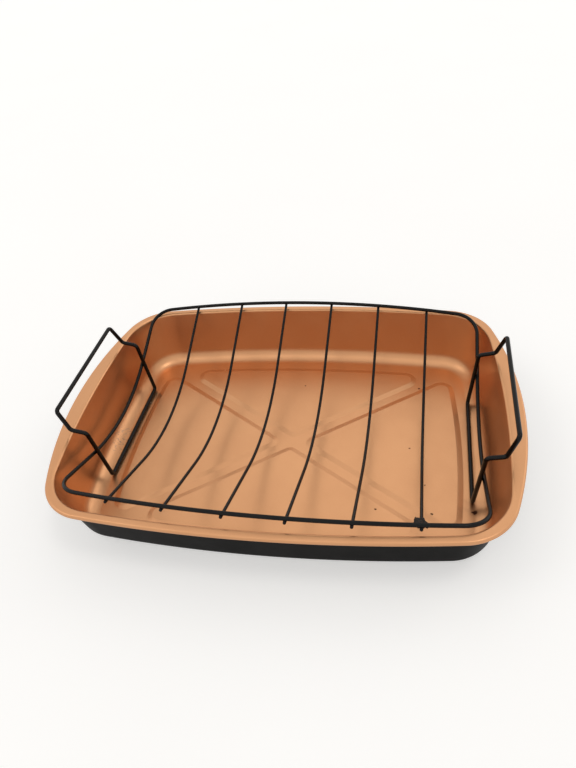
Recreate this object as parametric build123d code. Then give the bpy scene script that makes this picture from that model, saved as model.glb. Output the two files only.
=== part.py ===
from build123d import *

import os
from math import acos, atan2, cos, degrees, radians, sin, sqrt, tan

# Roasting pan with a trough-shaped wire rack. Lengths are in millimetres, angles in degrees.
# X runs along the pan, Y across it and +Z up. The origin is the middle of the pan's underside.

# Pan seen from above: the rim, whose ends bulge past its corners, and the mouth inside the flange
pan_length = 430.0
pan_width = 305.0
rim_end_bow = 34.0
rim_side_bow = 16.5
rim_corner_radius = 48.5
end_flange = 16.1
side_flange = 7.5
mouth_end_bow = 12.3
mouth_side_bow = 14.2
mouth_corner_radius = 48.0

# Pan in section
sheet = 0.8
pan_height = 60.3
wall_lean = 10.3
floor_radius = 15.0
mouth_bend = 2.4
rim_roll = 2.2
rim_drop = 4.0

# Floor emboss: four raised panels, a channel round them and an X of channels between them
edge_channel = 9.4
cross_channel = 8.8
emboss_height = 1.2
emboss_run = 5.2
panel_corner_radius = 12.5
panel_tip_radius = 8.4
emboss_blend = 3.6

# Rack frame, measured on the wire's axis: gaps from the mouth's edge, and rise above the rim
frame_wire = 3.6
frame_end_gap = 19.9
frame_side_gap = 3.5
frame_side_rise = 9.3
frame_side_bow = 14.5
frame_corner_radius = 24.0
trough_radius = 178.6
trough_flank = 22.2

# Cross wires under the frame
cross_wire = 2.8
cross_wire_count = 6
cross_wire_overhang = 2.6
cross_wire_end_round = 0.9
weld_depth = 0.35

# Handle loops, measured on the wire's axis; the foot bar lies inside the frame's end
handle_wire = 4.0
foot_inset = 6.4
foot_width = 125.6
foot_clearance = 0.3
jog_width = 129.2
jog_clearance = 2.9
jog_out = 14.9
jog_rise = 3.4
grip_out = 7.5
grip_rise = 21.8
grip_width = 124.4
foot_bend = 3.2
jog_bend = 4.6
grip_bend = 3.6

# How the loose rack lies in the pan
rack_turn = -1.66
rack_shift_x = 0.7
rack_shift_y = 3.4


def arc_radius(chord, bow):
    """The radius of an arc that stands bow proud of its chord."""
    return ((chord / 2) ** 2 + bow**2) / (2 * bow)


# Faces within least_tilt degrees of level or of upright aren't slopes
least_tilt = 1.0

# Sizes that follow from the ones above
overrun = pan_height
level_tolerance = sheet / 100
mouth_length = pan_length - 2 * end_flange
mouth_width = pan_width - 2 * side_flange
rim_end_radius = arc_radius(pan_width, rim_end_bow)
rim_side_radius = arc_radius(pan_length, rim_side_bow)
mouth_end_radius = arc_radius(mouth_width, mouth_end_bow)
mouth_side_radius = arc_radius(mouth_length, mouth_side_bow)
wall_slope = tan(radians(wall_lean))
wall_width = sheet / cos(radians(wall_lean))
floor_inset = (pan_height - sheet) * wall_slope
flat_inset = floor_inset + floor_radius * tan(radians((90 - wall_lean) / 2))
panel_inset = flat_inset + edge_channel
panel_reach_x = mouth_length / 2 - panel_inset
panel_reach_y = mouth_width / 2 - panel_inset
cross_angle = degrees(atan2(panel_reach_y, panel_reach_x))
emboss_taper = degrees(atan2(emboss_run, emboss_height))

frame_length = mouth_length - 2 * frame_end_gap
frame_width = mouth_width - 2 * frame_side_gap
flank = radians(trough_flank)
flank_length = (frame_width / 2 - trough_radius * sin(flank)) / cos(flank)
frame_side_height = pan_height + frame_side_rise
trough_axis_height = frame_side_height + trough_radius * cos(flank) - flank_length * sin(flank)
frame_side_radius = arc_radius(frame_length, frame_side_bow)
cross_wire_drop = (frame_wire + cross_wire) / 2 - weld_depth
cross_wire_pitch = frame_length / (cross_wire_count + 1)
foot_height = sheet + foot_clearance + handle_wire / 2
jog_height = pan_height + jog_clearance + handle_wire / 2


def bowed_outline(half_length, half_width, end_radius, side_radius, corner_radius):
    """A rectangle whose four sides are arcs, with rounded corners, as a face."""
    # The sharp corner is where an end circle and a side circle cross.
    end_centre = Vector(half_length - end_radius, 0)
    side_centre = Vector(0, half_width - side_radius)
    span = (side_centre - end_centre).length
    along = (end_radius**2 - side_radius**2 + span**2) / (2 * span)
    across = sqrt(end_radius**2 - along**2)
    heading = (side_centre - end_centre) / span
    corner = end_centre + heading * along + Vector(-heading.Y, heading.X) * across
    x = corner.X
    y = corner.Y
    arcs = [
        ThreePointArc((x, -y), (half_length, 0), (x, y)),
        ThreePointArc((x, y), (0, half_width), (-x, y)),
        ThreePointArc((-x, y), (-half_length, 0), (-x, -y)),
        ThreePointArc((-x, -y), (0, -half_width), (x, -y)),
    ]
    outline = make_face(arcs)
    return fillet(outline.vertices(), corner_radius)


def mouth_outline(inset):
    """The mouth's outline moved inwards by inset."""
    return bowed_outline(
        mouth_length / 2 - inset,
        mouth_width / 2 - inset,
        mouth_end_radius - inset,
        mouth_side_radius - inset,
        mouth_corner_radius - inset,
    )


def rim_outline(inset):
    """The rim's outline moved inwards by inset."""
    return bowed_outline(
        pan_length / 2 - inset,
        pan_width / 2 - inset,
        rim_end_radius - inset,
        rim_side_radius - inset,
        rim_corner_radius - inset,
    )


def tub(bottom, outward, bottom_radius):
    """A solid with leaning walls from bottom up to the rim, its walls moved outward."""
    inset = (pan_height - bottom) * wall_slope - outward
    solid = extrude(Pos(0, 0, bottom) * mouth_outline(inset), pan_height - bottom, taper=-wall_lean)
    return fillet(solid.faces().sort_by(Axis.Z)[0].edges(), bottom_radius)


def panel_plan(reach, radius, half_angle):
    """The foot of one panel that points along +X: a rounded wedge closed by an arc."""
    heading = Vector(cos(radians(half_angle)), sin(radians(half_angle)))
    tip = Vector(cross_channel / 2 / sin(radians(half_angle)), 0)
    from_centre = tip - Vector(reach - radius, 0)
    along = from_centre.dot(heading)
    corner = tip + heading * (sqrt(along**2 - from_centre.length**2 + radius**2) - along)
    mirrored = (corner.X, -corner.Y)
    outline = [Line(tip, mirrored), ThreePointArc(mirrored, (reach, 0), corner), Line(corner, tip)]
    plan = make_face(outline)
    plan = fillet(plan.vertices().sort_by(Axis.X)[0], panel_tip_radius)
    return fillet(plan.vertices().sort_by(Axis.X)[-2:], panel_corner_radius)


def raised_panels(height):
    """The four raised panels as low solids with sloping sides that stand at the given height."""
    end_plan = panel_plan(panel_reach_x, mouth_end_radius - panel_inset, cross_angle)
    side_plan = panel_plan(panel_reach_y, mouth_side_radius - panel_inset, 90 - cross_angle)
    panels = []
    for turn, plan in ((0, end_plan), (90, side_plan), (180, end_plan), (270, side_plan)):
        foot = Pos(0, 0, height) * Rot(0, 0, turn) * plan
        panels.append(extrude(foot, emboss_height, taper=emboss_taper))
    return panels


def tilt(face):
    """The angle between a face and the level, measured at the face's middle."""
    return degrees(acos(min(1, abs(face.normal_at().Z))))


def is_level(edge, height):
    """Whether all of an edge lies at the given height."""
    return all(abs((edge @ share).Z - height) < level_tolerance for share in (0, 0.5, 1))


def blend_slopes(floor):
    """Round the foot and the crest of every slope, inside and underneath."""
    for height in (0, sheet, emboss_height, sheet + emboss_height):
        slopes = floor.faces().filter_by(lambda face: least_tilt < tilt(face) < 90 - least_tilt)
        edges = ShapeList(edge for face in slopes for edge in face.edges() if is_level(edge, height))
        floor = fillet(edges, emboss_blend)
    return floor


def embossed_floor():
    """The flat of the floor, with its panels pressed up from below and softly blended."""
    floor = extrude(mouth_outline(flat_inset), sheet)
    for panel in raised_panels(sheet):
        floor = floor + panel
    for panel in raised_panels(0):
        floor = floor - panel
    return blend_slopes(floor)


def make_pan():
    """The pan: floor, leaning walls, flange and rolled rim, all one pressed sheet."""
    inside = tub(sheet, 0, floor_radius)
    walls = tub(0, wall_width, floor_radius + sheet) - inside
    walls = walls - extrude(Pos(0, 0, -overrun) * mouth_outline(flat_inset), overrun + sheet)

    flange = extrude(Pos(0, 0, pan_height - rim_drop) * rim_outline(0), rim_drop)
    flange = fillet(flange.faces().sort_by(Axis.Z)[-1].edges(), rim_roll)
    hollow = extrude(Pos(0, 0, pan_height - rim_drop) * rim_outline(sheet), rim_drop - sheet)
    hollow = fillet(hollow.faces().sort_by(Axis.Z)[-1].edges(), rim_roll - sheet)
    flange = flange - hollow
    flange = flange - inside

    pan = walls + flange
    top = pan.faces().filter_by(Axis.Z).sort_by(Axis.Z)[-1]
    pan = fillet(top.inner_wires()[0].edges(), mouth_bend)
    under_height = pan_height - sheet
    under = pan.faces().filter_by(lambda face: abs(face.center().Z - under_height) < level_tolerance)[0]
    pan = fillet(under.inner_wires()[0].edges(), mouth_bend - sheet)
    return pan + embossed_floor()


def flank_point(along, across, side):
    """A point of the frame's axis: along X, and across up the flank from the trough's arc."""
    y = trough_radius * sin(flank) + across * cos(flank)
    z = trough_axis_height - trough_radius * cos(flank) + across * sin(flank)
    return Vector(along, side * y, z)


def frame_half():
    """The path of the frame's +X half, from the middle of one long side to the other."""
    # Along X and up the flank: the middles of the long side's arc and of the corner's arc
    half = frame_length / 2
    side_centre = flank_length - frame_side_radius
    corner_x = half - frame_corner_radius
    to_corner = frame_side_radius - frame_corner_radius
    corner_across = side_centre + sqrt(to_corner**2 - corner_x**2)
    # The corner meets the long side where the line of their centres leaves both arcs.
    lean = atan2(corner_x, corner_across - side_centre)
    half_lean = lean / 2
    side_start = (0, flank_length)
    side_middle = (frame_side_radius * sin(half_lean), side_centre + frame_side_radius * cos(half_lean))
    side_end = (frame_side_radius * sin(lean), side_centre + frame_side_radius * cos(lean))
    turn = (lean + radians(90)) / 2
    corner_middle = (
        corner_x + frame_corner_radius * sin(turn),
        corner_across + frame_corner_radius * cos(turn),
    )
    corner_end = (half, corner_across)
    path = []
    for side in (-1, 1):
        points = [side_start, side_middle, side_end, corner_middle, corner_end, (half, 0)]
        a, b, c, d, e, f = (flank_point(*point, side) for point in points)
        path += [ThreePointArc(a, b, c), ThreePointArc(c, d, e), Line(e, f)]
    low = Vector(half, 0, trough_axis_height - trough_radius)
    path.append(ThreePointArc(flank_point(half, 0, -1), low, flank_point(half, 0, 1)))
    return Wire(path)


def swept_wire(path, diameter, seam):
    """Round wire along a path, with its surface's seam on the side that the vector seam points to."""
    start = Plane(origin=path @ 0, x_dir=seam, z_dir=path % 0)
    return sweep(start * Circle(diameter / 2), path=path)


def make_frame():
    """The rack's frame: one closed loop of wire, pressed into a trough."""
    # The seams of all the wires lie away from the welds, so that the weld cuts stay clean.
    half = swept_wire(frame_half(), frame_wire, seam=(0, 0, 1))
    return half + mirror(half, about=Plane.YZ)


def side_across(x):
    """How far up the flank the axis of the frame's long side lies at x."""
    return flank_length - frame_side_radius + sqrt(frame_side_radius**2 - x**2)


def frame_stretch(x, side):
    """The short stretch of the frame's long side that a cross wire at x meets."""
    middle = flank_point(x, side_across(x), side)
    ahead = flank_point(x + cross_wire, side_across(x + cross_wire), side)
    along = Plane(origin=middle, x_dir=(0, 0, 1), z_dir=ahead - middle)
    return along * Cylinder(frame_wire / 2, 4 * cross_wire)


def make_cross_wire(x):
    """A wire across the trough under the frame, with its ends past the frame's long sides."""
    radius = trough_radius + cross_wire_drop
    reach = side_across(x) + cross_wire_overhang
    bend_y = radius * sin(flank)
    bend_z = trough_axis_height - radius * cos(flank)
    end_y = bend_y + reach * cos(flank)
    end_z = bend_z + reach * sin(flank)
    front_end = Vector(x, -end_y, end_z)
    front = Vector(x, -bend_y, bend_z)
    back = Vector(x, bend_y, bend_z)
    back_end = Vector(x, end_y, end_z)
    low = Vector(x, 0, trough_axis_height - radius)
    path = Wire([Line(front_end, front), ThreePointArc(front, low, back), Line(back, back_end)])
    wire = swept_wire(path, cross_wire, seam=(0, 0, -1))
    ends = wire.faces().filter_by(GeomType.PLANE)
    wire = fillet(ends.edges(), cross_wire_end_round)
    # Each weld lets the wire into the frame's by the weld's depth.
    for side in (-1, 1):
        wire = wire - frame_stretch(x, side)
    return wire


def make_handle(frame):
    """The +X handle loop: foot bar, leaning legs, jogs out over the flange and grip bar."""
    foot_x = frame_length / 2 - foot_inset
    leg_y = (foot_width + jog_width) / 4
    cross_z = trough_axis_height - sqrt(trough_radius**2 - leg_y**2)
    cross_x = frame_length / 2 - (frame_wire + handle_wire) / 2 + weld_depth
    jog_x = foot_x + (cross_x - foot_x) * (jog_height - foot_height) / (cross_z - foot_height)
    jog_end = (jog_x + jog_out, jog_width / 2, jog_height + jog_rise)
    grip_x = jog_end[0] + grip_out
    grip_z = jog_end[2] + grip_rise
    points = [
        (foot_x, 0, foot_height),
        (foot_x, foot_width / 2, foot_height),
        (jog_x, jog_width / 2, jog_height),
        jog_end,
        (grip_x, grip_width / 2, grip_z),
        (grip_x, 0, grip_z),
    ]
    path = FilletPolyline(*points, radius=[foot_bend, jog_bend, jog_bend, grip_bend])
    half = swept_wire(path, handle_wire, seam=(-1, 0, 0))
    return half + mirror(half, about=Plane.XZ) - frame


def main():
    os.makedirs("parts", exist_ok=True)
    frame = make_frame()
    handle = make_handle(frame)
    rack = {"rack_frame": frame, "handle_right": handle, "handle_left": mirror(handle, about=Plane.YZ)}
    for number in range(1, cross_wire_count + 1):
        x = number * cross_wire_pitch - frame_length / 2
        rack[f"cross_wire_{number}"] = make_cross_wire(x)
    export_step(make_pan(), "parts/pan.step")
    for name, piece in rack.items():
        placed = Pos(rack_shift_x, rack_shift_y, 0) * Rot(0, 0, rack_turn) * piece
        export_step(placed, f"parts/{name}.step")


main()
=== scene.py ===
import math

import bmesh
import bpy
import numpy as np
from mathutils import Matrix, Vector, noise
from mathutils.geometry import delaunay_2d_cdt


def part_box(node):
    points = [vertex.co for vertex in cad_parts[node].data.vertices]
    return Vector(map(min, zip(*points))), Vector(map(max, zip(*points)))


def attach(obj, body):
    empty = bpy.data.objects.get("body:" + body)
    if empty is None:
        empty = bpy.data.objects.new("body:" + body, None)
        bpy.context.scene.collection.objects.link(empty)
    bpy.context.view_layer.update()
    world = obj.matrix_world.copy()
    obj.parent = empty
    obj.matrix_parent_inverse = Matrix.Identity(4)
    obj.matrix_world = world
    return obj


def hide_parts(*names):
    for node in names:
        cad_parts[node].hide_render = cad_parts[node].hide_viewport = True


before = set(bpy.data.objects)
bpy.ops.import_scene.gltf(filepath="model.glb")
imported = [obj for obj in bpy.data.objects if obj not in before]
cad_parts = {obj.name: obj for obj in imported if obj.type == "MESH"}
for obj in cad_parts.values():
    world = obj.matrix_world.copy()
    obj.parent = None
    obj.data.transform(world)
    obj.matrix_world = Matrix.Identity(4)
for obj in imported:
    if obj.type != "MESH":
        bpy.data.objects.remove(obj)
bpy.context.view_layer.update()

# Lengths are in metres unless a name says otherwise. X runs along the pan, Y across it, and +Z is up.
# Angles are written in degrees, apart from the camera's, which are in radians.
_, pan_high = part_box("pan")

# Pan seen from above: the rim, whose ends bulge past its corners, and the mouth inside the flange
rim_half_length = pan_high.x
rim_half_width = pan_high.y
rim_end_bow = 0.0340
rim_side_bow = 0.0165
rim_corner_radius = 0.0485
end_flange = 0.0161
side_flange = 0.0075
mouth_half_length = rim_half_length - end_flange
mouth_half_width = rim_half_width - side_flange
mouth_end_bow = 0.0123
mouth_side_bow = 0.0142
mouth_corner_radius = 0.0480

# Pan in section
pan_height = pan_high.z
sheet = 0.0008
wall_lean = math.radians(10.3)
floor_radius = 0.0150
mouth_bend = 0.0024
rim_roll = 0.0022
rim_drop = 0.0040
rim_curl = 0.0013
curl_turn = math.radians(225)

# Floor emboss: four raised panels, a channel round them and an X of channels between them
edge_channel = 0.0094
cross_channel = 0.0088
emboss_height = 0.0012
emboss_run = 0.0052
emboss_blend = 0.0036
panel_corner_radius = 0.0125
panel_tip_radius = 0.0084

# Rack: frame, cross wires and handle loops, measured on the wires' axes
frame_wire = 0.0036
frame_end_inset = 0.0199
frame_side_inset = 0.0035
frame_half_length = mouth_half_length - frame_end_inset
frame_half_width = mouth_half_width - frame_side_inset
frame_side_bow = 0.0145
frame_corner_radius = 0.0240
trough_radius = 0.1786
trough_flank = math.radians(22.2)
frame_side_rise = 0.0093
cross_wire = 0.0028
cross_wire_count = 6
cross_wire_overhang = 0.0026
cross_wire_end_round = 0.0009
weld_depth = 0.00035
handle_wire = 0.0040
foot_inset = 0.0064
foot_half_length = frame_half_length - foot_inset
foot_half_width = 0.0628
foot_clearance = 0.0003
foot_height = sheet + foot_clearance + handle_wire / 2
jog_half_width = 0.0646
jog_clearance = 0.0029
jog_height = pan_height + jog_clearance + handle_wire / 2
jog_out = 0.0149
jog_rise = 0.0034
grip_out = 0.0075
grip_rise = 0.0218
grip_half_width = 0.0622
foot_bend = 0.0032
jog_bend = 0.0046
grip_bend = 0.0036

# How the loose rack lies in the pan
rack_shift = (0.0007, 0.0034, 0)
rack_turn = math.radians(-1.66)
rack_lie = Matrix.Translation(rack_shift) @ Matrix.Rotation(rack_turn, 4, "Z")


def arc_radius(half_chord, bow):
    """The radius of an arc that stands bow proud of its chord."""
    return (half_chord**2 + bow**2) / (2 * bow)


# Sizes that follow from the ones above
wall_slope = math.tan(wall_lean)
wall_width = sheet / math.cos(wall_lean)
wall_turn = math.pi / 2 - wall_lean
flat_inset = (pan_height - sheet) * wall_slope + floor_radius * math.tan(wall_turn / 2)
mouth_tangent = mouth_bend * math.tan(wall_turn / 2)
flank_start_y = trough_radius * math.sin(trough_flank)
flank_length = (frame_half_width - flank_start_y) / math.cos(trough_flank)
flank_rise = flank_length * math.sin(trough_flank)
trough_arc_drop = trough_radius * math.cos(trough_flank)
trough_axis = pan_height + frame_side_rise + trough_arc_drop - flank_rise
flank_start_z = trough_axis - trough_arc_drop
frame_side_radius = arc_radius(frame_half_length, frame_side_bow)
cross_wire_drop = (frame_wire + cross_wire) / 2 - weld_depth
cross_wire_pitch = 2 * frame_half_length / (cross_wire_count + 1)
leg_half_width = (foot_half_width + jog_half_width) / 2
leg_weld_height = trough_axis - math.sqrt(trough_radius**2 - leg_half_width**2)

# Noises: the parts of their range that are used, and how much finer noise they hold
noise_range = (0.3, 0.7)
contrast_range = (0.35, 0.65)
usual_noise_roughness = 0.5
soft_detail = 2
usual_detail = 3
rough_detail = 4

# Pan's coating, copper-coloured inside and black outside, with a sprayed edge on the lip's curl.
# Scales are in waves per metre. The copper colour fades out faster than the curl turns, by coat_fade.
copper_dark = (0.610, 0.303, 0.147)
copper_light = (0.640, 0.323, 0.157)
copper_fleck = (0.760, 0.460, 0.270)
copper_metallic = 0.95
copper_roughness = 0.36
pan_black_dark = (0.0040, 0.0034, 0.0030)
pan_black_light = (0.0065, 0.0056, 0.0050)
pan_black_roughness = 0.42
pan_gloss = 0.025
coat_fade = 1.6
spray_scale = 900
spray_spread = 0.12
spray_edge_range = (0.3, 0.7)
blotch_scale = 14
fleck_scale = 2600
fleck_range = (0.45, 0.80)
fleck_share = 0.3
polish_scale = 60
polish_spread = 0.03
pan_bump = 0.12
pan_bump_depth = 0.0001

# Rack's black coating
wire_black_dark = (0.0018, 0.0017, 0.0016)
wire_black_light = (0.0042, 0.0039, 0.0037)
wire_gloss = 0.18
wire_roughness = 0.20
wire_polish_spread = 0.04
wire_blotch_scale = 60
wire_grain_scale = 1500
wire_bump = 0.25
wire_bump_depth = 0.0002

# Burnt-on food
burnt_dark = (0.005, 0.004, 0.003)
burnt_light = (0.028, 0.013, 0.007)
burnt_range = (0.40, 0.65)
burnt_blotch_scale = 700
burnt_grain_scale = 1200
burnt_roughness = 0.6
burnt_gloss = 0.3
burnt_bump = 0.6
burnt_bump_depth = 0.0006

# Small marks and painted glints on the pan's floor: place, reach and colour, and how soft and ragged their
# edges are
crumb = (0.030, 0.012, 0.006)
stain = (0.120, 0.045, 0.025)
# Painted glint: a bright spot that stands for a highlight on the floor
painted_glint = (0.950, 0.760, 0.560)
floor_level = sheet + emboss_height
floor_marks_and_glints = [
    ((0.0032, 0.0823, floor_level), 0.0007, crumb),
    ((0.1167, -0.0036, floor_level), 0.0008, stain),
    ((0.1306, -0.0473, floor_level), 0.0007, stain),
    ((0.0873, -0.0769, floor_level), 0.0009, crumb),
    ((0.1361, -0.0786, floor_level), 0.0010, crumb),
    ((0.1727, -0.0735, sheet), 0.0020, crumb),
    ((0.1262, 0.0828, sheet), 0.0011, stain),
    # The last three are painted glints, bright spots that stand for highlights
    ((-0.0950, 0.1070, sheet), 0.0009, painted_glint),
    ((-0.1040, 0.0700, floor_level), 0.0009, painted_glint),
    ((-0.1690, 0.0510, sheet), 0.0009, painted_glint),
]
mark_softness = 0.35
mark_raggedness = 0.5
mark_edge_waves = 0.9
mark_edge_roughness = 0.6

# A faint stain at the right foot bar, and fine scuffs on the floor's radius at the left end
soil_place = (0.1722, -0.0690, sheet)
soil_reach = 0.0070
soil_softness = 0.8
soil_strength = 0.35
scuff_place = (-0.1800, -0.0060, 0.0040)
scuff_reach = 0.0150
scuff_softness = 0.6
scuff_raggedness = 0.3
scuff_scale = 420
scuff_roughness = 0.7
scuff_range = (0.54, 0.62)
scuff_strength = 0.7
scuff_grey = (0.160, 0.130, 0.120)

# Weld beads, and burnt-on lumps at the last cross wire's front weld: shift and reach of each.
# What makes a bead uneven is a seed that follows from its wire and its side, through the seed steps.
weld_bead = (0.0016, 0.0016, 0.0012)
bead_unevenness = 0.15
bead_seed_step = 3
leg_bead_seed_step = 7
residue_lumps = [
    ((-0.0012, 0.0014, -0.0012), (0.0044, 0.0030, 0.0018)),
    ((-0.0034, 0.0036, -0.0014), (0.0024, 0.0034, 0.0014)),
    ((0.0030, 0.0012, -0.0010), (0.0032, 0.0026, 0.0014)),
    ((0.0008, 0.0048, -0.0020), (0.0020, 0.0032, 0.0013)),
]
residue_unevenness = 0.45
lump_scale = 1.6
lump_increment = 1
lump_lacunarity = 2
lump_octaves = 4

# Floor and surround: floor_reach counts half lengths of the pan, and the floor lies just under it
surround_colour = (1.0, 0.99, 0.975)
ambient_strength = 0.50
floor_dark = (0.740, 0.735, 0.725)
floor_light = (0.780, 0.775, 0.765)
floor_grain_scale = 4
floor_roughness = 0.9
floor_glow = 0.48
floor_reach = 30
floor_gap = 0.0001

# Distant lamps: the direction each stands in, its spread in degrees and its strength
lamps = {
    "ceiling_lamp": ((0.34, -0.05, 0.94), 14, 0.22),
    "left_lamp": ((-0.66, -0.08, 0.75), 25, 0.20),
    "back_lamp": ((-0.08, 0.66, 0.75), 30, 0.06),
    "right_lamp": ((0.66, 0.58, 0.45), 30, 0.16),
    "front_lamp": ((-0.22, -0.44, 0.87), 16, 0.06),
}
lamp_colour = (1.0, 0.98, 0.95)

# Camera, fitted to the photograph: its place, its yaw, pitch and roll, and its focal length in pixels
camera_place = (0.1079, -0.3981, 0.4527)
camera_turn = (-0.253, 0.735, -0.151)
focal_pixels = 601.0
picture_height_pixels = 768
sensor_millimetres = 36

# How finely the meshes are made
end_steps = 18
corner_steps = 24
side_steps = 24
fillet_steps = 14
outer_bend_steps = 8
inner_bend_steps = 6
curl_steps = 12
blend_steps = 4
frame_side_steps = 16
frame_corner_steps = 14
trough_steps = 24
cross_wire_steps = 28
cap_steps = 5
wire_sides = 20
arc_step = math.radians(7)
longest_run_diameters = 4
ball_subdivisions = 4
between_shares = (0.33, 0.67)
flank_shares = (0.25, 0.5, 0.75, 1)
merge_gap = 1e-7
large_face_weight = 100


class Outline:
    """A closed outline of arcs: each station has an arc's centre and radius, and an outward normal."""

    def __init__(self, centres, radii, headings):
        self.centres = np.array(centres, float)
        self.radii = np.array(radii, float)[:, None]
        self.normals = np.stack([np.cos(headings), np.sin(headings)], axis=1)

    def points(self, inset):
        """The outline moved inwards by inset."""
        return self.centres + (self.radii - inset) * self.normals


def bowed_outline(half_length, half_width, end_bow, side_bow, corner_radius):
    """A rectangle whose four sides are arcs, with rounded corners, counter-clockwise from +X."""
    end_radius = arc_radius(half_width, end_bow)
    side_radius = arc_radius(half_length, side_bow)
    end_centre = np.array([half_length - end_radius, 0])
    side_centre = np.array([0, half_width - side_radius])
    end_reach = end_radius - corner_radius
    side_reach = side_radius - corner_radius
    corner = circle_crossing(end_centre, end_reach, side_centre, side_reach)
    end_turn = math.atan2(corner[1], corner[0] - end_centre[0])
    side_turn = math.atan2(corner[1] - side_centre[1], corner[0])
    arcs = [
        (end_centre, end_radius, 0, end_turn, end_steps),
        (corner, corner_radius, end_turn, side_turn, corner_steps),
        (side_centre, side_radius, side_turn, math.pi / 2, side_steps),
    ]
    quarter = []
    for centre, radius, first, last, steps in arcs:
        for step in range(steps):
            quarter.append((centre, radius, first + (last - first) * step / steps))
    top = (side_centre, side_radius, math.pi / 2)
    half = quarter + [top] + [mirrored(station, -1, 1) for station in quarter[:0:-1]]
    left = mirrored(quarter[0], -1, 1)
    other = [mirrored(station, 1, -1) for station in half[:0:-1]]
    stations = half + [left] + other
    return Outline(*zip(*stations))


def circle_crossing(first, first_radius, second, second_radius):
    """The crossing of two circles with the larger x."""
    span = np.linalg.norm(second - first)
    along = (first_radius**2 - second_radius**2 + span**2) / (2 * span)
    across = math.sqrt(first_radius**2 - along**2)
    heading = (second - first) / span
    return first + heading * along + np.array([-heading[1], heading[0]]) * across


def mirrored(station, x_sign, y_sign):
    """A station mirrored in the axes."""
    centre, radius, heading = station
    turned = math.atan2(y_sign * math.sin(heading), x_sign * math.cos(heading))
    return np.array([x_sign * centre[0], y_sign * centre[1]]), radius, turned


def panel_outline(reach, radius, half_angle, turn):
    """The foot of a raised panel: a rounded wedge closed by an arc, turned about the middle."""
    apex = cross_channel / 2 / math.sin(half_angle)
    tip = np.array([apex + panel_tip_radius / math.sin(half_angle), 0])
    outer = np.array([reach - radius, 0])
    start = np.array([apex + panel_corner_radius / math.sin(half_angle), 0])
    heading = np.array([math.cos(half_angle), math.sin(half_angle)])
    along = (start - outer) @ heading
    gap = (start - outer) @ (start - outer)
    corner = start + heading * (math.sqrt(along**2 - gap + (radius - panel_corner_radius) ** 2) - along)
    outer_turn = math.atan2(corner[1], corner[0] - outer[0])
    side_heading = half_angle + math.pi / 2
    low_corner = corner * np.array([1, -1])
    arcs = [
        (outer, radius, -outer_turn, outer_turn, side_steps * 2),
        (corner, panel_corner_radius, outer_turn, side_heading, corner_steps // 2),
        (tip, panel_tip_radius, side_heading, 2 * math.pi - side_heading, corner_steps // 2),
        (low_corner, panel_corner_radius, -side_heading, -outer_turn, corner_steps // 2),
    ]
    rotation = np.array([[math.cos(turn), -math.sin(turn)], [math.sin(turn), math.cos(turn)]])
    stations = []
    for centre, arc, first, last, steps in arcs:
        for step in range(steps + 1):
            stations.append((rotation @ centre, arc, turn + first + (last - first) * step / steps))
    return Outline(*zip(*stations))


def arc_steps(first, last, count):
    """Evenly spaced angles from first to last."""
    return [first + (last - first) * step / count for step in range(count + 1)]


def top_profile(mouth, rim):
    """Rings over the copper-coloured side, from the floor's edge to the lip's outermost line."""
    rings = []
    for turn in arc_steps(0, wall_turn, fillet_steps):
        z = sheet + floor_radius * (1 - math.cos(turn))
        rings.append((mouth.points(flat_inset - floor_radius * math.sin(turn)), z, 1))
    foot = rings[-1][1]
    bend_foot = pan_height - mouth_bend * (1 - math.cos(wall_turn))
    for share in between_shares:
        z = foot + (bend_foot - foot) * share
        rings.append((mouth.points((pan_height - z) * wall_slope), z, 1))
    for turn in arc_steps(wall_turn, 0, outer_bend_steps):
        z = pan_height - mouth_bend * (1 - math.cos(turn))
        rings.append((mouth.points(mouth_bend * math.sin(turn) - mouth_tangent), z, 1))
    inner = mouth.points(-mouth_tangent)
    outer = rim.points(rim_roll)
    for share in between_shares:
        rings.append((inner + (outer - inner) * share, pan_height, 1))
    for turn in arc_steps(0, math.pi / 2, outer_bend_steps):
        z = pan_height - rim_roll * (1 - math.cos(turn))
        rings.append((rim.points(rim_roll * (1 - math.sin(turn))), z, 1))
    return rings


def curl_profile(rim):
    """Rings round the curled edge: down its outside, where the copper ends, under it, and back inside."""
    middle = pan_height - rim_drop + rim_curl
    stations = []
    for turn in arc_steps(0, curl_turn, curl_steps):
        stations.append((rim_curl, turn, max(0, 1 - coat_fade * turn / curl_turn)))
    for turn in arc_steps(curl_turn, 0, curl_steps):
        stations.append((rim_curl - sheet, turn, 0))
    rings = []
    for radius, turn, coat in stations:
        inset = rim_curl - radius * math.cos(turn)
        rings.append((rim.points(inset), middle - radius * math.sin(turn), coat))
    return rings


def under_profile(mouth, rim):
    """Rings over the black side, from inside the lip to the underside's flat edge."""
    rings = []
    for turn in arc_steps(math.pi / 2, 0, inner_bend_steps):
        z = pan_height - rim_roll + (rim_roll - sheet) * math.cos(turn)
        rings.append((rim.points(rim_roll - (rim_roll - sheet) * math.sin(turn)), z, 0))
    under = pan_height - sheet
    outer = rim.points(rim_roll)
    inner = mouth.points(-mouth_tangent)
    for share in between_shares:
        rings.append((outer + (inner - outer) * share, under, 0))
    for turn in arc_steps(0, wall_turn, inner_bend_steps):
        z = under - (mouth_bend - sheet) * (1 - math.cos(turn))
        rings.append((mouth.points((mouth_bend - sheet) * math.sin(turn) - mouth_tangent), z, 0))
    radius = floor_radius + sheet
    bend_foot = rings[-1][1]
    foot = radius * (1 - math.cos(wall_turn))
    for share in between_shares:
        z = bend_foot + (foot - bend_foot) * share
        rings.append((mouth.points((pan_height - z) * wall_slope - wall_width), z, 0))
    for turn in arc_steps(wall_turn, 0, fillet_steps):
        z = radius * (1 - math.cos(turn))
        rings.append((mouth.points(flat_inset - radius * math.sin(turn)), z, 0))
    return rings


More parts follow.
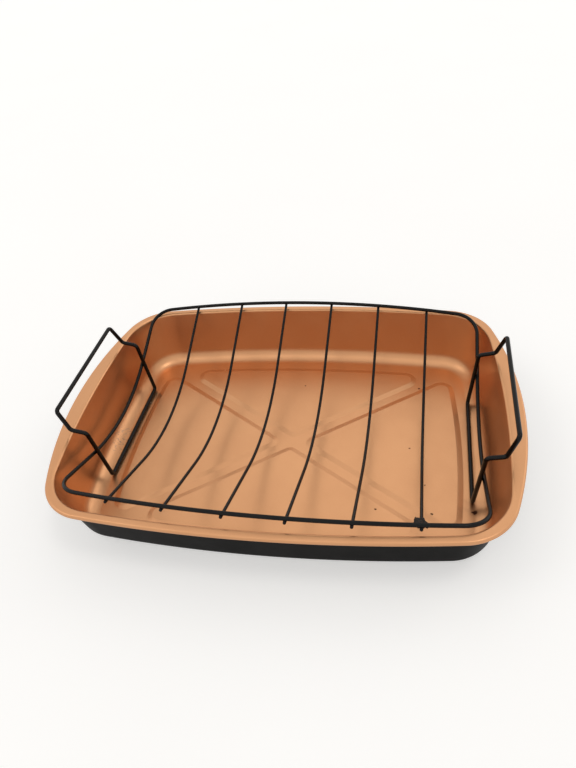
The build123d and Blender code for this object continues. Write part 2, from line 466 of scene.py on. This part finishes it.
def emboss_profile():
    """How far in from its foot and how high each ring of a panel's soft slope lies."""
    lean = math.atan2(emboss_height, emboss_run)
    tangent = emboss_blend * math.tan(lean / 2)
    rings = []
    for turn in arc_steps(0, lean, blend_steps):
        rings.append((emboss_blend * math.sin(turn) - tangent, emboss_blend * (1 - math.cos(turn))))
    for turn in arc_steps(lean, 0, blend_steps):
        inset = emboss_run + tangent - emboss_blend * math.sin(turn)
        rings.append((inset, emboss_height - emboss_blend * (1 - math.cos(turn))))
    return rings


def add_ring(mesh, coat_layer, points, z, coat):
    """One closed ring of vertices."""
    ring = []
    for x, y in points:
        vertex = mesh.verts.new((x, y, z))
        vertex[coat_layer] = coat
        ring.append(vertex)
    return ring


def bridge(mesh, first, second):
    """A band of quads between two rings of the same length."""
    count = len(first)
    for index in range(count):
        following = (index + 1) % count
        corners = [first[index], first[following], second[following], second[index]]
        mesh.faces.new(corners)


def embossed_sheet(mesh, coat_layer, edge_ring, z, coat):
    """One face of the embossed floor inside its edge ring."""
    panel_inset = flat_inset + edge_channel
    reach_x = mouth_half_length - panel_inset
    reach_y = mouth_half_width - panel_inset
    cross_angle = math.atan2(reach_y, reach_x)
    end_radius = arc_radius(mouth_half_width, mouth_end_bow) - panel_inset
    side_radius = arc_radius(mouth_half_length, mouth_side_bow) - panel_inset
    foot_rings = []
    for quarter in range(4):
        turn = quarter * math.pi / 2
        if quarter % 2:
            outline = panel_outline(reach_y, side_radius, math.pi / 2 - cross_angle, turn)
        else:
            outline = panel_outline(reach_x, end_radius, cross_angle, turn)
        rings = [
            add_ring(mesh, coat_layer, outline.points(inset), z + height, coat)
            for inset, height in emboss_profile()
        ]
        for first, second in zip(rings, rings[1:]):
            bridge(mesh, first, second)
        mesh.faces.new(rings[-1])
        foot_rings.append(rings[0])
    fill_between(mesh, edge_ring, foot_rings)


def fill_between(mesh, edge_ring, hole_rings):
    """Flat triangles inside the edge ring and outside the hole rings."""
    vertices = []
    edges = []
    for ring in [edge_ring] + hole_rings:
        first = len(vertices)
        count = len(ring)
        edges += [(first + index, first + (index + 1) % count) for index in range(count)]
        vertices += ring
    flat = [vertex.co.xy for vertex in vertices]
    inside_with_holes = 2
    _, _, faces, sources, _, _ = delaunay_2d_cdt(flat, edges, [], inside_with_holes, merge_gap)
    for face in faces:
        mesh.faces.new([vertices[sources[index][0]] for index in face])


def finished(name, mesh, material, body):
    """A piece from a bmesh, smooth, with its material, on its body."""
    data = bpy.data.meshes.new(name)
    mesh.to_mesh(data)
    mesh.free()
    for face in data.polygons:
        face.use_smooth = True
    data.materials.append(material)
    piece = bpy.data.objects.new(name, data)
    bpy.context.scene.collection.objects.link(piece)
    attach(piece, body)
    return piece


def make_pan(material):
    """The pressed pan: embossed floor, walls, flange and curled lip, copper above and black below."""
    mouth = bowed_outline(
        mouth_half_length, mouth_half_width, mouth_end_bow, mouth_side_bow, mouth_corner_radius
    )
    rim = bowed_outline(rim_half_length, rim_half_width, rim_end_bow, rim_side_bow, rim_corner_radius)
    mesh = bmesh.new()
    coat_layer = mesh.verts.layers.float.new("copper_share")
    profile = top_profile(mouth, rim) + curl_profile(rim) + under_profile(mouth, rim)
    rings = [add_ring(mesh, coat_layer, points, z, coat) for points, z, coat in profile]
    for first, second in zip(rings, rings[1:]):
        bridge(mesh, first, second)
    embossed_sheet(mesh, coat_layer, rings[0], sheet, 1)
    embossed_sheet(mesh, coat_layer, rings[-1], 0, 0)
    bmesh.ops.recalc_face_normals(mesh, faces=mesh.faces)
    pan = finished("roasting_pan", mesh, material, "pan")
    weighted = pan.modifiers.new("Weighted normals", "WEIGHTED_NORMAL")
    weighted.weight = large_face_weight
    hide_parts("pan")


def bent_points(corners, radii):
    """Points along a closed path of straight runs with rounded corners."""
    points = []
    count = len(corners)
    for index, radius in enumerate(radii):
        corner = corners[index]
        back = (corners[index - 1] - corner).normalized()
        ahead = (corners[(index + 1) % count] - corner).normalized()
        half = back.angle(ahead) / 2
        centre = corner + (back + ahead).normalized() * (radius / math.sin(half))
        start = corner + back * (radius / math.tan(half)) - centre
        axis = ahead.cross(back)
        sweep = math.pi - 2 * half
        for turn in arc_steps(0, sweep, math.ceil(sweep / arc_step)):
            points.append(centre + Matrix.Rotation(turn, 3, axis) @ start)
    return points


def tube(mesh, points, radius, closed):
    """Round wire along points, with its rings carried along without twist."""
    count = len(points)
    rings = []
    side = None
    for index, point in enumerate(points):
        if closed:
            tangent = points[(index + 1) % count] - points[index - 1]
        else:
            tangent = points[min(index + 1, count - 1)] - points[max(index - 1, 0)]
        tangent = tangent.normalized()
        if side is None:
            side = tangent.orthogonal()
        side = (side - tangent * side.dot(tangent)).normalized()
        other = tangent.cross(side)
        ring = []
        for number in range(wire_sides):
            turn = 2 * math.pi * number / wire_sides
            ring.append(mesh.verts.new(point + (side * math.cos(turn) + other * math.sin(turn)) * radius))
        rings.append(ring)
    for first, second in zip(rings, rings[1:]):
        bridge(mesh, first, second)
    if closed:
        shift = closest_shift(rings[-1], rings[0])
        bridge(mesh, rings[-1], rings[0][shift:] + rings[0][:shift])
    return rings


def closest_shift(last, first):
    """How far the first ring's numbering must turn to meet the last ring's."""

    def distance(shift):
        turned = first[shift:] + first[:shift]
        return sum((near.co - far.co).length for near, far in zip(last, turned))

    return min(range(wire_sides), key=distance)


def flank_point(along, across, side):
    """A point of the frame's axis: along X, and across up the flank from the trough's arc."""
    y = flank_start_y + across * math.cos(trough_flank)
    z = flank_start_z + across * math.sin(trough_flank)
    return Vector((along, side * y, z))


def side_across(x):
    """How far up the flank the axis of the frame's long side lies at x."""
    return flank_length - frame_side_radius + math.sqrt(frame_side_radius**2 - x**2)


def frame_points():
    """The frame's closed path: from the middle of the front side round to it again."""
    side_centre = flank_length - frame_side_radius
    corner_x = frame_half_length - frame_corner_radius
    to_corner = frame_side_radius - frame_corner_radius
    corner_across = side_centre + math.sqrt(to_corner**2 - corner_x**2)
    lean = math.atan2(corner_x, corner_across - side_centre)
    half = []
    for turn in arc_steps(0, lean, frame_side_steps)[:-1]:
        half.append((frame_side_radius * math.sin(turn), side_centre + frame_side_radius * math.cos(turn)))
    for turn in arc_steps(lean, math.pi / 2, frame_corner_steps):
        x = corner_x + frame_corner_radius * math.sin(turn)
        half.append((x, corner_across + frame_corner_radius * math.cos(turn)))
    for share in (*between_shares, 1):
        half.append((frame_half_length, corner_across * (1 - share)))
    front = [flank_point(x, across, -1) for x, across in half]
    end = []
    for turn in arc_steps(-trough_flank, trough_flank, trough_steps)[1:-1]:
        z = trough_axis - trough_radius * math.cos(turn)
        end.append(Vector((frame_half_length, trough_radius * math.sin(turn), z)))
    back = [flank_point(x, across, 1) for x, across in half[::-1]]
    right = front + end + back
    left = [Vector((-point.x, point.y, point.z)) for point in right[-2:0:-1]]
    return right + left


def cross_wire_points(x):
    """A cross wire's path, from its front end over the trough to its back end."""
    radius = trough_radius + cross_wire_drop
    reach = side_across(x) + cross_wire_overhang
    points = []
    for turn in arc_steps(-trough_flank, trough_flank, cross_wire_steps):
        points.append(Vector((x, radius * math.sin(turn), trough_axis - radius * math.cos(turn))))
    backwards = Vector((0, math.cos(trough_flank), math.sin(trough_flank)))
    forwards = Vector((0, -math.cos(trough_flank), math.sin(trough_flank)))
    front = [points[0] + forwards * reach * share for share in flank_shares]
    back = [points[-1] + backwards * reach * share for share in flank_shares]
    return front[::-1] + points + back


def handle_corners(side):
    """The corners of a handle loop's path, from the back of its foot bar round to the front."""
    weld_x = frame_half_length - (frame_wire + handle_wire) / 2 + weld_depth
    slope = (weld_x - foot_half_length) / (leg_weld_height - foot_height)
    jog_x = foot_half_length + slope * (jog_height - foot_height)
    grip_x = jog_x + jog_out + grip_out
    grip_z = jog_height + jog_rise + grip_rise
    half = [
        (foot_half_length, foot_half_width, foot_height),
        (jog_x, jog_half_width, jog_height),
        (jog_x + jog_out, jog_half_width, jog_height + jog_rise),
        (grip_x, grip_half_width, grip_z),
    ]
    back = [Vector((side * x, y, z)) for x, y, z in half]
    front = [Vector((side * x, -y, z)) for x, y, z in half]
    return back + front[::-1]


def subdivided(points, closed, longest):
    """The same path with no run longer than longest."""
    result = []
    count = len(points)
    for index in range(count if closed else count - 1):
        start, end = points[index], points[(index + 1) % count]
        pieces = max(1, math.ceil((end - start).length / longest))
        result += [start + (end - start) * (step / pieces) for step in range(pieces)]
    if not closed:
        result.append(points[-1])
    return result


def end_cap(mesh, ring, outward, radius):
    """A rounded end on an open wire."""
    middle = sum((vertex.co for vertex in ring), Vector()) / len(ring)
    previous = ring
    for step in range(1, cap_steps + 1):
        turn = math.pi / 2 * step / cap_steps
        shrink = (radius - cross_wire_end_round * (1 - math.cos(turn))) / radius
        lift = outward * cross_wire_end_round * math.sin(turn)
        fresh = [mesh.verts.new(middle + (vertex.co - middle) * shrink + lift) for vertex in ring]
        bridge(mesh, previous, fresh)
        previous = fresh
    mesh.faces.new(previous)


def run_out(points, end):
    """The direction in which an open path runs out at its first point, 0, or its last, -1."""
    inner = 1 if end == 0 else -2
    return (points[end] - points[inner]).normalized()


def make_wire(name, points, diameter, closed, material):
    """One wire of the rack where it lies, with rounded ends if it is open."""
    mesh = bmesh.new()
    points = subdivided(points, closed, longest_run_diameters * diameter)
    ends = () if closed else (0, -1)
    for end in ends:
        points[end] = points[end] - run_out(points, end) * cross_wire_end_round
    rings = tube(mesh, points, diameter / 2, closed)
    for end in ends:
        end_cap(mesh, rings[end], run_out(points, end), diameter / 2)
    bmesh.ops.recalc_face_normals(mesh, faces=mesh.faces)
    bmesh.ops.transform(mesh, matrix=rack_lie, verts=mesh.verts)
    return finished(name, mesh, material, "rack")


def lump(mesh, place, reach, seed, uneven):
    """An uneven rounded lump round a place, wider or flatter by its reach along each axis."""
    ball = bmesh.ops.create_icosphere(mesh, subdivisions=ball_subdivisions, radius=1)
    for vertex in ball["verts"]:
        sample = vertex.co * lump_scale + Vector((seed, 0, 0))
        swell = 1 + uneven * noise.fractal(sample, lump_increment, lump_lacunarity, lump_octaves)
        vertex.co = Vector(place) + Vector(part * size for part, size in zip(vertex.co * swell, reach))


def make_weld_beads(material):
    """Small coated beads where the wires are welded together."""
    mesh = bmesh.new()
    seat = frame_wire / 2 - weld_depth / 2
    for number in range(1, cross_wire_count + 1):
        x = number * cross_wire_pitch - frame_half_length
        for side in (-1, 1):
            place = flank_point(x, side_across(x), side)
            below = Vector((0, side * math.sin(trough_flank), -math.cos(trough_flank))) * seat
            lump(mesh, place + below, weld_bead, number + bead_seed_step * side, bead_unevenness)
    for side in (-1, 1):
        for end in (-1, 1):
            place = Vector((side * (frame_half_length - seat), end * leg_half_width, leg_weld_height))
            lump(mesh, place, weld_bead, side + leg_bead_seed_step * end, bead_unevenness)
    bmesh.ops.transform(mesh, matrix=rack_lie, verts=mesh.verts)
    finished("rack_weld_beads", mesh, material, "rack")


def make_residue(material):
    """Burnt-on food at the front end of the last cross wire."""
    mesh = bmesh.new()
    x = cross_wire_count * cross_wire_pitch - frame_half_length
    weld = flank_point(x, side_across(x), -1)
    for seed, (shift, reach) in enumerate(residue_lumps):
        lump(mesh, weld + Vector(shift), reach, seed, residue_unevenness)
    bmesh.ops.transform(mesh, matrix=rack_lie, verts=mesh.verts)
    finished("burnt_residue", mesh, material, "rack")


def make_rack(material):
    """The frame, its cross wires and both handle loops, in place of their solids."""
    frame_piece = make_wire("rack_frame_wire", frame_points(), frame_wire, True, material)
    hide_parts("rack_frame")
    for number in range(1, cross_wire_count + 1):
        x = number * cross_wire_pitch - frame_half_length
        piece = make_wire(f"rack_cross_wire_{number}", cross_wire_points(x), cross_wire, False, material)
        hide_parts(f"cross_wire_{number}")
    radii = [foot_bend, jog_bend, jog_bend, grip_bend]
    for side, word in ((-1, "left"), (1, "right")):
        points = bent_points(handle_corners(side), radii + radii[::-1])
        piece = make_wire(f"rack_handle_{word}", points, handle_wire, True, material)
        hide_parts(f"handle_{word}")


class Nodes:
    """A material's node tree, with short ways to add to it."""

    def __init__(self, name):
        self.material = bpy.data.materials.new(name)
        self.material.use_nodes = True
        self.tree = self.material.node_tree
        self.shader = self.tree.nodes["Principled BSDF"]
        self.place = self.add("ShaderNodeTexCoord").outputs["Object"]

    def add(self, kind, **settings):
        """A new node with its settings."""
        node = self.tree.nodes.new(kind)
        for key, value in settings.items():
            setattr(node, key, value)
        return node

    def link(self, source, target):
        """Lead a node's output into an input."""
        self.tree.links.new(source, target)

    def noise(self, scale, detail=usual_detail, roughness=usual_noise_roughness):
        """Noise from 0 to 1 over the piece, with about scale waves per metre."""
        node = self.add("ShaderNodeTexNoise")
        node.inputs["Scale"].default_value = scale
        node.inputs["Detail"].default_value = detail
        node.inputs["Roughness"].default_value = roughness
        self.link(self.place, node.inputs["Vector"])
        return node.outputs["Fac"]

    def ranged(self, value, low, high, to_low=0, to_high=1):
        """A value moved from one range to another and held inside it."""
        node = self.add("ShaderNodeMapRange")
        self.link(value, node.inputs["Value"])
        for key, number in (("From Min", low), ("From Max", high), ("To Min", to_low), ("To Max", to_high)):
            node.inputs[key].default_value = number
        return node.outputs["Result"]

    def math(self, operation, first, second):
        """The sum or product of two values, each a node's output or a number."""
        node = self.add("ShaderNodeMath", operation=operation)
        for index, value in enumerate((first, second)):
            if isinstance(value, (int, float)):
                node.inputs[index].default_value = value
            else:
                self.link(value, node.inputs[index])
        return node.outputs["Value"]

    def mix(self, share, first, second):
        """A colour that goes from the first to the second as share goes from 0 to 1."""
        node = self.add("ShaderNodeMix", data_type="RGBA")
        for key, value in (("Factor_Float", share), ("A_Color", first), ("B_Color", second)):
            socket = next(s for s in node.inputs if s.identifier == key)
            if isinstance(value, tuple):
                socket.default_value = (*value, 1)
            elif isinstance(value, (int, float)):
                socket.default_value = value
            else:
                self.link(value, socket)
        return next(s for s in node.outputs if s.identifier == "Result_Color")

    def bump(self, height, strength, distance):
        """A normal that follows the slopes of a height."""
        node = self.add("ShaderNodeBump")
        node.inputs["Strength"].default_value = strength
        node.inputs["Distance"].default_value = distance
        self.link(height, node.inputs["Height"])
        return node.outputs["Normal"]

    def put(self, value, name):
        """Give one of the shader's inputs a node's output, or a number or colour for all of it."""
        if isinstance(value, tuple):
            self.shader.inputs[name].default_value = (*value, 1)
        elif isinstance(value, (int, float)):
            self.shader.inputs[name].default_value = value
        else:
            self.link(value, self.shader.inputs[name])


def place_mask(nodes, place, reach, softness=mark_softness, raggedness=mark_raggedness):
    """A ragged round patch: 1 well inside reach of a place, 0 outside it."""
    shift = nodes.add("ShaderNodeVectorMath", operation="DISTANCE")
    nodes.link(nodes.place, shift.inputs[0])
    shift.inputs[1].default_value = place
    edge_noise = nodes.noise(mark_edge_waves / reach, roughness=mark_edge_roughness)
    wobble = nodes.ranged(edge_noise, *noise_range, -raggedness * reach, raggedness * reach)
    distance = nodes.math("ADD", shift.outputs["Value"], wobble)
    return nodes.ranged(distance, reach * (1 + softness), reach * (1 - softness))


def copper_coating(nodes, blotches, flecks):
    """The copper colour inside the pan, with its marks, painted glints, faint stain and scuffs."""
    copper = nodes.mix(blotches, copper_dark, copper_light)
    copper = nodes.mix(nodes.ranged(flecks, *fleck_range, 0, fleck_share), copper, copper_fleck)
    # Crumbs and stains, and painted glints that stand for highlights
    for place, reach, colour in floor_marks_and_glints:
        copper = nodes.mix(place_mask(nodes, place, reach), copper, colour)
    soil = place_mask(nodes, soil_place, soil_reach, soil_softness)
    copper = nodes.mix(nodes.math("MULTIPLY", soil, soil_strength), copper, stain)
    scuff_patch = place_mask(nodes, scuff_place, scuff_reach, scuff_softness, scuff_raggedness)
    scratches = nodes.ranged(nodes.noise(scuff_scale, rough_detail, scuff_roughness), *scuff_range)
    scuffs = nodes.math("MULTIPLY", scuff_patch, scratches)
    return nodes.mix(nodes.math("MULTIPLY", scuffs, scuff_strength), copper, scuff_grey)


def pan_material():
    """Satin copper-coloured non-stick coating inside, satin black outside, with a sprayed edge."""
    nodes = Nodes("pan_coating")
    coat = nodes.add("ShaderNodeAttribute", attribute_name="copper_share").outputs["Fac"]
    spray = nodes.ranged(nodes.noise(spray_scale), *noise_range, -spray_spread, spray_spread)
    coat = nodes.ranged(nodes.math("ADD", coat, spray), *spray_edge_range)
    blotches = nodes.ranged(nodes.noise(blotch_scale, soft_detail), *contrast_range)
    flecks = nodes.noise(fleck_scale, soft_detail)
    copper = copper_coating(nodes, blotches, flecks)
    black = nodes.mix(blotches, pan_black_dark, pan_black_light)
    nodes.put(nodes.mix(coat, black, copper), "Base Color")
    nodes.put(nodes.ranged(coat, 0, 1, 0, copper_metallic), "Metallic")
    waves = nodes.noise(polish_scale, rough_detail)
    polish = nodes.ranged(waves, *noise_range, -polish_spread, polish_spread)
    roughness = nodes.ranged(coat, 0, 1, pan_black_roughness, copper_roughness)
    nodes.put(nodes.math("ADD", polish, roughness), "Roughness")
    nodes.put(pan_gloss, "Specular IOR Level")
    nodes.put(nodes.bump(flecks, pan_bump, pan_bump_depth), "Normal")
    return nodes.material


def wire_material():
    """Satin black non-stick coating on wire."""
    nodes = Nodes("rack_coating")
    blotches = nodes.noise(wire_blotch_scale)
    black = nodes.mix(nodes.ranged(blotches, *contrast_range), wire_black_dark, wire_black_light)
    nodes.put(black, "Base Color")
    smoothest = wire_roughness - wire_polish_spread
    roughest = wire_roughness + wire_polish_spread
    nodes.put(nodes.ranged(blotches, *noise_range, smoothest, roughest), "Roughness")
    nodes.put(wire_gloss, "Specular IOR Level")
    nodes.put(nodes.bump(nodes.noise(wire_grain_scale), wire_bump, wire_bump_depth), "Normal")
    return nodes.material


def residue_material():
    """Burnt-on food: nearly black, with brown thin places."""
    nodes = Nodes("burnt_residue")
    blotches = nodes.ranged(nodes.noise(burnt_blotch_scale, rough_detail), *burnt_range)
    nodes.put(nodes.mix(blotches, burnt_dark, burnt_light), "Base Color")
    nodes.put(burnt_roughness, "Roughness")
    nodes.put(burnt_gloss, "Specular IOR Level")
    grain = nodes.noise(burnt_grain_scale, rough_detail)
    nodes.put(nodes.bump(grain, burnt_bump, burnt_bump_depth), "Normal")
    return nodes.material


def background_ray(tree):
    """1 for rays that show the background: the camera's, and what a glossy or clear surface sends on."""
    path = tree.nodes.new("ShaderNodeLightPath")
    shown = path.outputs["Is Camera Ray"]
    for name in ("Is Glossy Ray", "Is Transmission Ray"):
        larger = tree.nodes.new("ShaderNodeMath")
        larger.operation = "MAXIMUM"
        tree.links.new(shown, larger.inputs[0])
        tree.links.new(path.outputs[name], larger.inputs[1])
        shown = larger.outputs["Value"]
    return shown


def make_stage():
    """A plain pale floor under a white surround."""
    mesh = bmesh.new()
    reach = floor_reach * rim_half_length
    corners = [(-reach, -reach), (reach, -reach), (reach, reach), (-reach, reach)]
    mesh.faces.new([mesh.verts.new((x, y, -floor_gap)) for x, y in corners])
    data = bpy.data.meshes.new("stage_floor")
    mesh.to_mesh(data)
    mesh.free()
    nodes = Nodes("stage_floor")
    grain = nodes.noise(floor_grain_scale, soft_detail)
    nodes.put(nodes.mix(grain, floor_dark, floor_light), "Base Color")
    nodes.put(floor_roughness, "Roughness")
    nodes.put(surround_colour, "Emission Color")
    nodes.put(nodes.math("MULTIPLY", background_ray(nodes.tree), floor_glow), "Emission Strength")
    data.materials.append(nodes.material)
    floor = bpy.data.objects.new("stage_floor", data)
    bpy.context.scene.collection.objects.link(floor)


def make_world():
    """A white surround, seen whole by the camera and in reflections, and dimmer as light."""
    world = bpy.data.worlds.new("surround")
    world.use_nodes = True
    bpy.context.scene.world = world
    tree = world.node_tree
    background = tree.nodes["Background"]
    background.inputs["Color"].default_value = (*surround_colour, 1)
    strength = tree.nodes.new("ShaderNodeMix")
    strength.inputs["A"].default_value = ambient_strength
    strength.inputs["B"].default_value = 1
    tree.links.new(background_ray(tree), strength.inputs["Factor"])
    tree.links.new(strength.outputs["Result"], background.inputs["Strength"])


def make_lamps():
    """Soft distant lamps: the ceiling's casts the wires' shadows, the others light the pan's curves."""
    for name, (direction, spread, strength) in lamps.items():
        data = bpy.data.lights.new(name, "SUN")
        data.angle = math.radians(spread)
        data.energy = strength
        data.color = lamp_colour
        lamp = bpy.data.objects.new(name, data)
        lamp.rotation_euler = Vector(direction).to_track_quat("Z", "Y").to_euler()
        bpy.context.scene.collection.objects.link(lamp)


def make_camera():
    """The photograph's viewpoint."""
    yaw, pitch, roll = camera_turn
    forward = Vector((math.sin(yaw) * math.cos(pitch), math.cos(yaw) * math.cos(pitch), -math.sin(pitch)))
    level = Vector((math.cos(yaw), -math.sin(yaw), 0))
    above = level.cross(forward)
    right = level * math.cos(roll) + above * math.sin(roll)
    up = above * math.cos(roll) - level * math.sin(roll)
    data = bpy.data.cameras.new("camera")
    data.sensor_width = sensor_millimetres
    data.lens = sensor_millimetres * focal_pixels / picture_height_pixels
    camera = bpy.data.objects.new("camera", data)
    turn = Matrix((right, up, -forward)).transposed().to_4x4()
    camera.matrix_world = Matrix.Translation(camera_place) @ turn
    bpy.context.scene.collection.objects.link(camera)
    bpy.context.scene.camera = camera


make_pan(pan_material())
coating = wire_material()
make_rack(coating)
make_weld_beads(coating)
make_residue(residue_material())
make_stage()
make_world()
make_lamps()
make_camera()
bpy.context.scene.view_settings.view_transform = "Standard"
